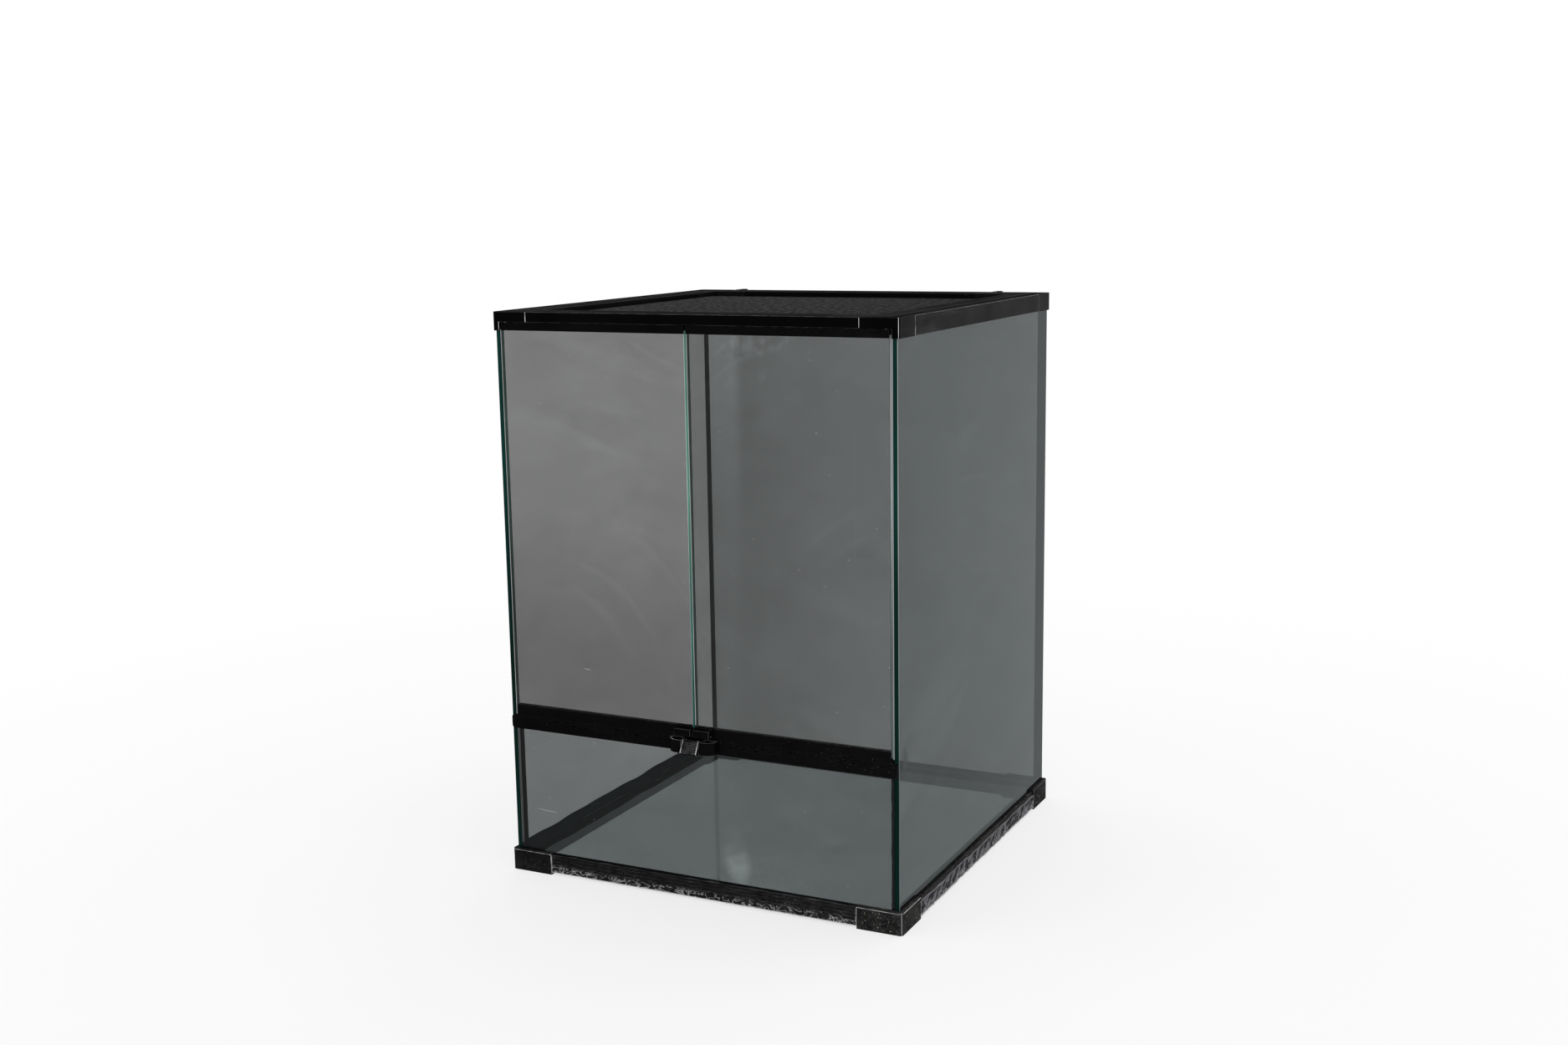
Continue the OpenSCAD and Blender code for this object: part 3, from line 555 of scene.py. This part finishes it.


# the two raised rims of the thumb tab, with the bright painted highlight, and the grip ribs between
# them with the dim one
def makeThumbRims():
    bm = bmesh.new()
    top, foot = Vector((0, *latch["top"])), Vector((0, *latch["foot"]))
    lean = (foot - top).to_track_quat("Z", "Y").to_matrix().to_4x4()
    inside = latch["half"] - latch["rim"]

    def addBar(middle, size):
        bmesh.ops.create_cube(bm, size=1, matrix=Matrix.Translation(middle) @ lean
                              @ Matrix.Diagonal((*size, 1)))

    for side in (-1, 1):
        aside = Vector((side * (latch["half"] - latch["rim"] / 2), 0, 0))
        addBar((top + foot) / 2 + aside, (latch["rim"], latch["proud"] * 2, (foot - top).length))
    bmesh.ops.bevel(bm, geom=bm.edges[:], offset=latch["bevel"], offset_type="OFFSET", segments=2,
                    profile=0.5, affect="EDGES", clamp_overlap=True, material=-1)
    for i in range(latch["ribs"]):
        addBar(top + (foot - top) * (i + 1) / (latch["ribs"] + 1),
               (inside * 2, latch["ribProud"] * 2, latch["ribTall"]))
    for face in bm.faces:
        face.material_index = 0 if abs(face.calc_center_median().x) > inside else 1
    levelHighlight, uprightHighlight = finishes["latch"][1:]
    addPiece("thumb_rims", bm, "latch", [uprightHighlight, levelHighlight])


# the latch's return spring in steel; how far it would be pressed together at the tab's full travel
# is worked out but not used
def makeSpring():
    low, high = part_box("latch_spring")
    travel = next(j["range_m"][1] for j in frame["joints"] if j["name"] == "latch_slide")
    bm = bmesh.new()
    bm.from_mesh(frame["nodes"]["latch_spring"].data)
    coil = addPiece("return_spring", bm, "housing",
                    [steelFinish("springSteel", 0.6, 0.2)], ["latch_spring"])
    1 - travel / (high.z - low.z)
    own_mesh(coil)


# the tab's edges that point sideways take the bright painted highlight
roundedCopy("latch_tab", "latch", "latch", rounding["vent"],
            flank=latch["tabFlank"])
makeLatchCover()
makeThumbRims()
makeSpring()
pinSteel = steelFinish("pinSteel", 0.42, 0.25)
for node, thing in frame["nodes"].items():
    if node.endswith("_pin"):
        thing.data.materials.clear()
        thing.data.materials.append(pinSteel)
print("latch and pins dressed")


weave = {"pitch": 1.9 * mm, "wire": 0.22 * mm, "sides": 5, "cross": 0.9,
         "black": (0.022, 0.0215, 0.022, 1), "rubbed": (0.075, 0.073, 0.075, 1)}


def wireFinish():
    f = Finish("blackWire")
    rub = f.noise(160, 4)
    return f.done(f.glossed(f.blend(weave["black"], weave["rubbed"], rub.rise(0.40, 0.72)),
                            rub * 0.12, 0.4))


# the wires along x, for along 0, or along y, which lie just over them
def makeWires(name, along, finish):
    low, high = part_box("screen_mesh")
    across = 1 - along
    count = int((high[across] - low[across]) / weave["pitch"])
    step = (high[across] - low[across]) / count
    level = (low.z + high.z) / 2 + (weave["wire"] if along else -weave["wire"]) * weave["cross"]
    bm = bmesh.new()
    for i in range(count):
        place = [0, 0, level]
        place[along] = (low[along] + high[along]) / 2
        place[across] = low[across] + (i + 0.5) * step
        turn = Matrix.Rotation(math.pi / 2, 4, "Y" if along == 0 else "X")
        bmesh.ops.create_cone(bm, cap_ends=True, segments=weave["sides"], radius1=weave["wire"],
                              radius2=weave["wire"], depth=high[along] - low[along],
                              matrix=Matrix.Translation(place) @ turn)
    addPiece(name, bm, "screen", [finish],
             ["screen_mesh"] if along == 0 else [], smoothAngle=80)


blackWire = wireFinish()
makeWires("screen_wires_across", 0, blackWire)
makeWires("screen_wires_along", 1, blackWire)
print("screen woven")


# pale is how much lighter its streaks are and line the height of a painted highlight line along it,
# which is below the floor where there is none
sealant = {
    "upright": {"colour": (0.0022, 0.0026, 0.003, 1), "rough": 0.26, "gloss": 0.05, "pale": 1.7,
                "stretch": (1, 1, 0.35), "line": -1.0},
    "foot": {"colour": (0.003, 0.011, 0.017, 1), "rough": 0.30, "gloss": 0.08, "pale": 2.2,
             "stretch": (0.25, 0.25, 1), "line": floorTop + 1.8 * mm},
    "highlightColour": (0.10, 0.115, 0.12, 1), "lineFrom": 0.2 * mm, "lineTo": 0.6 * mm,
}

# wave, rise and tall are in millimetres for the front, right, back and left bead: how far its top
# wanders, how far it is smeared up and how tall it is; the front one is as tall as its solid
bead = {"steps": 90, "waver": 0.10, "hollow": 0.31, "across": 5.4 * mm, "merge": 0.001 * mm,
        "footWidth": 5 * mm, "footStep": 5 * mm, "footSpread": 0.12, "footWaves": 22,
        "footWave": (0, 0.6, 1.0, 2.2), "footRise": (0, 0, 0.6, 3.2),
        "footTall": (0, 3.6, 6.2, 9)}


# cured black sealant, rippled and streaked along its length, with a painted highlight line along it
def sealantFinish(name, kind):
    p = sealant[kind]
    f = Finish(name)
    ripple = f.noise(240, 3, p["stretch"])
    streak = f.noise(90, 4, p["stretch"]).rise(0.35, 0.7)
    body = f.blend(p["colour"], scaled(p["colour"], p["pale"]), streak)
    # a painted highlight line along the bead
    fromLine = (f.along(2) - p["line"]).size()
    highlightBand = 1 - fromLine.rise(sealant["lineFrom"], sealant["lineTo"])
    body = f.blend(body, sealant["highlightColour"], highlightBand * f.noise(30, 3).rise(0.42, 0.6))
    return f.done(f.glossed(body, ripple * p["gloss"], p["rough"],
                            Normal=f.bump(ripple, 0.4, 0.3 * mm)))


# a bead's outline: the corner, then across one pane and up the other, hollow where it was pulled
def beadOutline(across, up):
    spots = [Vector((0, 0))]
    for t in (0, 0.25, 0.5, 0.75, 1):
        a = t * math.pi / 2
        pulled = 1 - bead["hollow"] * math.sin(2 * a) ** 0.8
        spots.append(Vector((across * math.cos(a) * pulled, up * math.sin(a) * pulled)))
    return spots


# a closed bead: place says where a spot of the outline goes at a share of the length
def pullBead(bm, steps, spots, place):
    verts = bmesh.ops.create_grid(bm, x_segments=steps, y_segments=len(spots), size=0.5)["verts"]
    for vert in verts:
        spot = spots[round((vert.co.y + 0.5) * len(spots)) % len(spots)]
        vert.co = place(vert.co.x + 0.5, spot)
    bmesh.ops.remove_doubles(bm, verts=verts, dist=bead["merge"])
    bmesh.ops.holes_fill(bm, edges=[e for e in bm.edges if e.is_boundary], sides=0)


# the upright beads in the two corners of one end, sy -1 at the front and 1 at the back
def makeBeads(node, name, sy):
    low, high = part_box(node)
    leg = high.y - low.y
    bm = bmesh.new()
    for sx in (-1, 1):
        corner = Vector((low.x if sx < 0 else high.x, low.y if sy < 0 else high.y, low.z))

        def place(share, spot):
            up = share * (high.z - low.z)
            swell = 1 + bead["waver"] * noise.noise(Vector((sx * 7, sy * 3, up * 90)))
            return corner + Vector((-sx * spot.x * swell, -sy * spot.y * swell, up))

        pullBead(bm, bead["steps"], beadOutline(bead["across"] if sy < 0 else leg, leg), place)
    bmesh.ops.recalc_face_normals(bm, faces=bm.faces)
    addPiece(name, bm, "housing", [sealantFinish(name + "Black", "upright")], [node])


# the beads round the floor: low behind the front pane and on the right, smeared up on the left
def makeFootBeads():
    frontLow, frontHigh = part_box("front_seals")
    frontLeg = frontHigh.y - frontLow.y
    bm = bmesh.new()
    for side in range(4):
        reach, inner = (innerX, innerY) if side % 2 == 0 else (innerY, innerX)
        width = bead["footWidth"] if side else frontLeg
        tall = bead["footTall"][side] * mm if side else frontLeg
        turn = Matrix.Translation((0, midY, floorTop)) @ Matrix.Rotation(side * math.pi / 2, 4, "Z")

        def place(share, spot):
            x = (share * 2 - 1) * reach
            where = Vector((x * bead["footWaves"], side * 5.0, 0))
            wave = (noise.noise(where) * bead["footWave"][side] + bead["footRise"][side]) * mm
            out = spot.x * (1 + bead["footSpread"] * noise.noise(where * 2.1))
            return turn @ Vector((x, out - inner, spot.y * (1 + max(0, wave) / tall)))

        pullBead(bm, round(2 * reach / bead["footStep"]), beadOutline(width, tall), place)
    bmesh.ops.recalc_face_normals(bm, faces=bm.faces)
    addPiece("floor_beads", bm, "housing", [sealantFinish("footBlack", "foot")],
             ["floor_seals"])


smear = {"place": (innerX, -188.5 * mm, 169 * mm), "reach": (1.2 * mm, 5.5 * mm, 12 * mm),
         "lumps": 0.3, "white": (0.40, 0.43, 0.44, 1), "clear": (0.93, 0.95, 0.95, 1)}


def smearFinish():
    f = Finish("clearSealant")
    lump = f.noise(300, 3)
    body = f.principled(Base_Color=smear["white"], Roughness=0.3,
                        Normal=f.bump(lump, 0.5, 0.4 * mm))
    return f.done(f.mixShader(f.clear(smear["clear"]), body, lump * 0.25 + 0.20))


# the smear of clear sealant inside the right pane at the end of the vent rail, flat on the glass
def makeSmear():
    bm = bmesh.new()
    bmesh.ops.create_icosphere(bm, subdivisions=4, radius=1)
    for vert in bm.verts:
        lump = 1 + smear["lumps"] * noise.noise(vert.co * 1.7)
        inward = Vector((min(0, vert.co.x), vert.co.y, vert.co.z))
        vert.co = Vector([c * reach * lump for c, reach in zip(inward, smear["reach"])])
    bmesh.ops.translate(bm, vec=smear["place"], verts=bm.verts)
    addPiece("sealant_smear", bm, "housing", [smearFinish()], smoothAngle=60)


makeBeads("front_seals", "front_beads", -1)
makeBeads("back_seals", "back_beads", 1)
makeFootBeads()
makeSmear()
print("sealant pulled")


# the film on each base rail: top is its height, wave how far its edges wander, strength how
# creased it is, whiteness how milky, threads how strong the painted highlights on its fine crinkles
# are and stuck how much of it clings to the plastic
film = {
    "columns": 300, "rows": 16, "railOut": 3.7 * mm, "railTop": 22 * mm, "gap": 0.10 * mm,
    "proud": 1.1 * mm, "lap": 2.6 * mm, "lapFrom": 0.93, "rimWide": 1.6 * mm, "rimTall": 1.4 * mm,
    "clear": (0.9, 0.9, 0.91, 1), "filmHighlight": (0.62, 0.62, 0.63, 1),
    "front_film": {"side": 0, "top": 22.4 * mm, "wave": 0.7 * mm, "strength": 0.75,
                   "whiteness": 0.03, "threads": 0.8, "stuck": 0.0,
                   "body": (0.03, 0.03, 0.032, 1)},
    "right_film": {"side": 1, "top": 18.6 * mm, "wave": 1.3 * mm, "strength": 1.0,
                   "whiteness": 0.92, "threads": 0.30, "stuck": 1.0,
                   "body": (0.096, 0.092, 0.104, 1)},
    "back_film": {"side": 2, "top": 22.0 * mm, "wave": 0.8 * mm, "strength": 0.8,
                  "whiteness": 0.25, "threads": 0.5, "stuck": 0.5,
                  "body": (0.04, 0.04, 0.044, 1)},
    "left_film": {"side": 3, "top": 21.0 * mm, "wave": 1.0 * mm, "strength": 0.8,
                  "whiteness": 0.30, "threads": 0.5, "stuck": 0.5,
                  "body": (0.04, 0.04, 0.044, 1)},
}


# its creases, its rim and the patches stuck to the plastic are values on each point; creases, rim
# and fine crinkle lines carry painted highlights
def filmFinish(name, p):
    f = Finish(name + "Clear")
    crease, rim, stuck = (f.node("Attribute", {"attribute_name": kind}, {}, "Fac")
                          for kind in ("crease", "rim", "stuck"))
    lines = f.noise(260, 5, (1, 1, 1), 1.2)
    thread = 1 - (f.noise(95, 3, (1, 1, 1.5), 1.0) - 0.5).size().rise(0.008, 0.040)
    low = 1 - f.along(2).rise(7 * mm, 14 * mm)
    # painted highlights: creases, the rim and fine crinkle lines are lightened and made less clear
    lit = crease * 0.30 + rim * 0.8 + thread * (low * 0.9 + 0.10) * p["threads"]
    lit = lit + lines.rise(0.52, 0.68) * 0.03
    sheen = f.glossed(f.blend(p["body"], film["filmHighlight"], lit), 0.15, 0.28,
                      Normal=f.bump(lines, 0.4, 0.3 * mm))
    share = (1 - stuck * 0.85) * p["whiteness"] + lit * 0.7
    return f.done(f.mixShader(f.clear(film["clear"]), sheen, share))


# 1 along the winding lines where a noise crosses 0
def ridge(x, y, z):
    return max(0.0, 1 - abs(noise.noise(Vector((x, y, z)))) * 2.2)


# how far a spot stands off the rail, how sharp its fine creases are and how far it sticks, 0 to 1
def filmFolds(p, spot, up):
    fold = ridge(spot.x * 0.06, spot.y * 0.22, spot.z) ** 3
    fine = ridge(spot.x * 0.21, spot.y * 0.35, spot.z + 5) ** 4
    lift = p["strength"] * (0.35 + 0.65 * (1 - up) ** 0.6) * (0.65 * fold + 0.35 * fine)
    slant = noise.noise(Vector((spot.x * 0.12 - spot.y * 0.11, spot.y * 0.09, spot.z + 9)))
    inMiddle = min(1.0, 5.5 * up * (1 - up))
    held = p["stuck"] * max(0.0, min(1.0, (slant + 0.01) * 9)) * inMiddle
    return lift, fine, held


def makeFilm(node, name):
    p = film[node]
    side = p["side"]
    low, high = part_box(node)
    tall = high.z - low.z
    length = max(high.x - low.x, high.y - low.y)
    bm = bmesh.new()
    bmesh.ops.create_grid(bm, x_segments=film["columns"], y_segments=film["rows"], size=0.5)
    crease, rim, stuck = (bm.verts.layers.float.new(kind) for kind in ("crease", "rim", "stuck"))
    turn = Matrix.Rotation(side * math.pi / 2, 4, "Z")
    face = (paneY if side % 2 == 0 else paneX) + film["railOut"] + film["gap"]
    for vert in bm.verts:
        along = vert.co.x * length
        up = vert.co.y + 0.5
        spot = Vector((along * 1000 + side * 311, up * 19, side * 17.0))
        lift, fine, held = filmFolds(p, spot, up)
        vert[stuck] = held
        # crease and rim are also the masks of the film's painted highlights
        vert[crease] = min(1.0, lift * (0.5 + 0.9 * fine)) * (1 - 0.6 * held)
        nearEnd = (0.5 - abs(vert.co.x)) * length / film["rimWide"]
        nearFoot = up * tall / film["rimTall"]
        nearTop = (1 - up) * tall / film["rimWide"]
        vert[rim] = max(0.0, 1 - min(nearEnd, nearFoot), 0.5 - nearTop)
        wave = noise.noise(Vector((along * 55, side * 3.0, 1.5)))
        bottom = low.z + max(0.0, 0.6 * wave) * p["wave"]
        top = p["top"] - max(0.0, 0.5 - 0.9 * wave) * p["wave"]
        out = face + film["proud"] * min(1.0, lift * 1.3)
        # a film that reaches over the rail's top laps back onto it
        if up > film["lapFrom"] and p["top"] > film["railTop"]:
            out -= (up - film["lapFrom"]) / (1 - film["lapFrom"]) * film["lap"]
        vert.co = Vector((along, -out, bottom + (top - bottom) * up))
    bmesh.ops.transform(bm, matrix=Matrix.Translation((0, midY, 0)) @ turn, verts=bm.verts)
    bmesh.ops.recalc_face_normals(bm, faces=bm.faces)
    probe = bm.faces[:][0]
    if probe.normal.dot(probe.calc_center_median() - Vector((0, midY, 0))) < 0:
        bmesh.ops.reverse_faces(bm, faces=bm.faces)
    addPiece(name, bm, "housing", [filmFinish(name, p)], [node])


makeFilm("front_film", "front_wrap")
makeFilm("right_film", "right_wrap")
makeFilm("back_film", "back_wrap")
makeFilm("left_film", "left_wrap")
print("film wrapped")


# angles in degrees, the rest in metres, lens and sensor in millimetres
photoView = {"azimuth": 26.15, "elevation": 10.16, "roll": -0.88, "distance": 1.984,
             "target": (-0.00593, midY, 0.35675), "lens": 41.18, "sensor": 36}


def makeCamera():
    az = math.radians(photoView["azimuth"])
    el = math.radians(photoView["elevation"])
    back = Vector((math.sin(az) * math.cos(el), -math.cos(az) * math.cos(el), math.sin(el)))
    right = (-back).cross(Vector((0, 0, 1))).normalized()
    up = right.cross(-back)
    turn = Matrix((right, up, back)).transposed() @ Matrix.Rotation(
        math.radians(photoView["roll"]), 3, "Z")
    camera = bpy.data.objects.new("camera", bpy.data.cameras.new("camera"))
    camera.data.lens = photoView["lens"]
    camera.data.sensor_width = photoView["sensor"]
    camera.matrix_world = Matrix.Translation(
        Vector(photoView["target"]) + back * photoView["distance"]) @ turn.to_4x4()
    bpy.context.scene.collection.objects.link(camera)
    bpy.context.scene.camera = camera


# shadowShare is how much of its shadow the floor keeps near the tank; the sheen and glint lamps
# light only the black plastics
studio = {
    "floor": 0.93, "floorSize": 40, "floorNear": 0.7, "floorFar": 1.6, "shadowShare": 0.3,
    "world": 0.8, "aim": (0, 0, 0.3),
    "top": {"place": (0.3, 0.9, 2.6), "size": (2.6, 2.6), "power": 20},
    "front": {"place": (-2.2, -2.2, 1.9), "size": (1.8, 1.8), "power": 9},
    "sheen": {"place": (0.96, 1.98, 0.35), "size": (0.9, 0.9), "power": 14, "plastics": True},
    "glint": {"place": (1.80, -0.88, 0.3), "size": (0.15, 1.0), "power": 9, "plastics": True},
}


# 1 for what the camera, a mirror or glass sees, 0 for light that falls on the object
def seenShare(f):
    path = f.node("LightPath", {}, {}, "Is Camera Ray")
    for kind in ("Is Glossy Ray", "Is Transmission Ray"):
        path = path.most(f.node("LightPath", {}, {}, kind))
    return path


def floorFinish():
    f = Finish("paleFloor")
    fromTank = f.node("VectorMath", {"operation": "LENGTH"}, {0: f.place}, "Value")
    far = fromTank.rise(studio["floorNear"], studio["floorFar"])
    far = far * studio["shadowShare"] + (1 - studio["shadowShare"])
    paper = f.blend(grey(studio["floor"]), grey(studio["floor"] - 0.02), f.noise(400, 3))
    pale = f.principled(Base_Color=paper, Roughness=0.9, Specular_IOR_Level=0.1)
    white = f.node("Emission", {}, {"Color": grey(1), "Strength": 1.0})
    return f.done(f.mixShader(pale, white, far * seenShare(f)))


def makeFloor():
    bm = bmesh.new()
    bmesh.ops.create_grid(bm, x_segments=1, y_segments=1, size=studio["floorSize"])
    floorMesh = bpy.data.meshes.new("studioFloor")
    bm.to_mesh(floorMesh)
    bm.free()
    floorMesh.materials.append(floorFinish())
    floor = bpy.data.objects.new("studioFloor", floorMesh)
    bpy.context.scene.collection.objects.link(floor)


def makeLamp(name):
    p = studio[name]
    lamp = bpy.data.objects.new(name + "Lamp", bpy.data.lights.new(name + "Lamp", "AREA"))
    lamp.data.shape = "RECTANGLE"
    lamp.data.size, lamp.data.size_y = p["size"]
    lamp.data.energy = p["power"]
    lamp.location = p["place"]
    lamp.rotation_mode = "QUATERNION"
    lamp.rotation_quaternion = (Vector(studio["aim"]) - lamp.location).to_track_quat("-Z", "Y")
    lamp.visible_camera = False
    bpy.context.scene.collection.objects.link(lamp)
    if p.get("plastics"):
        lit = bpy.data.collections.new(name + "Lit")
        for piece in plasticPieces:
            lit.objects.link(piece)
        lamp.light_linking.receiver_collection = lit


def makeWorld():
    world = bpy.data.worlds.new("studio")
    world.use_nodes = True
    f = Finish("studioSky", world.node_tree)
    light = seenShare(f) * (1 - studio["world"]) + studio["world"]
    sky = f.node("Background", {}, {"Color": grey(1), "Strength": light})
    f.node("OutputWorld", {}, {"Surface": sky})
    bpy.context.scene.world = world


makeCamera()
makeFloor()
for lampName in ("top", "front", "sheen", "glint"):
    makeLamp(lampName)
makeWorld()
scene = bpy.context.scene
scene.view_settings.view_transform = "Standard"
scene.cycles.transparent_max_bounces = 32
print("studio lit")
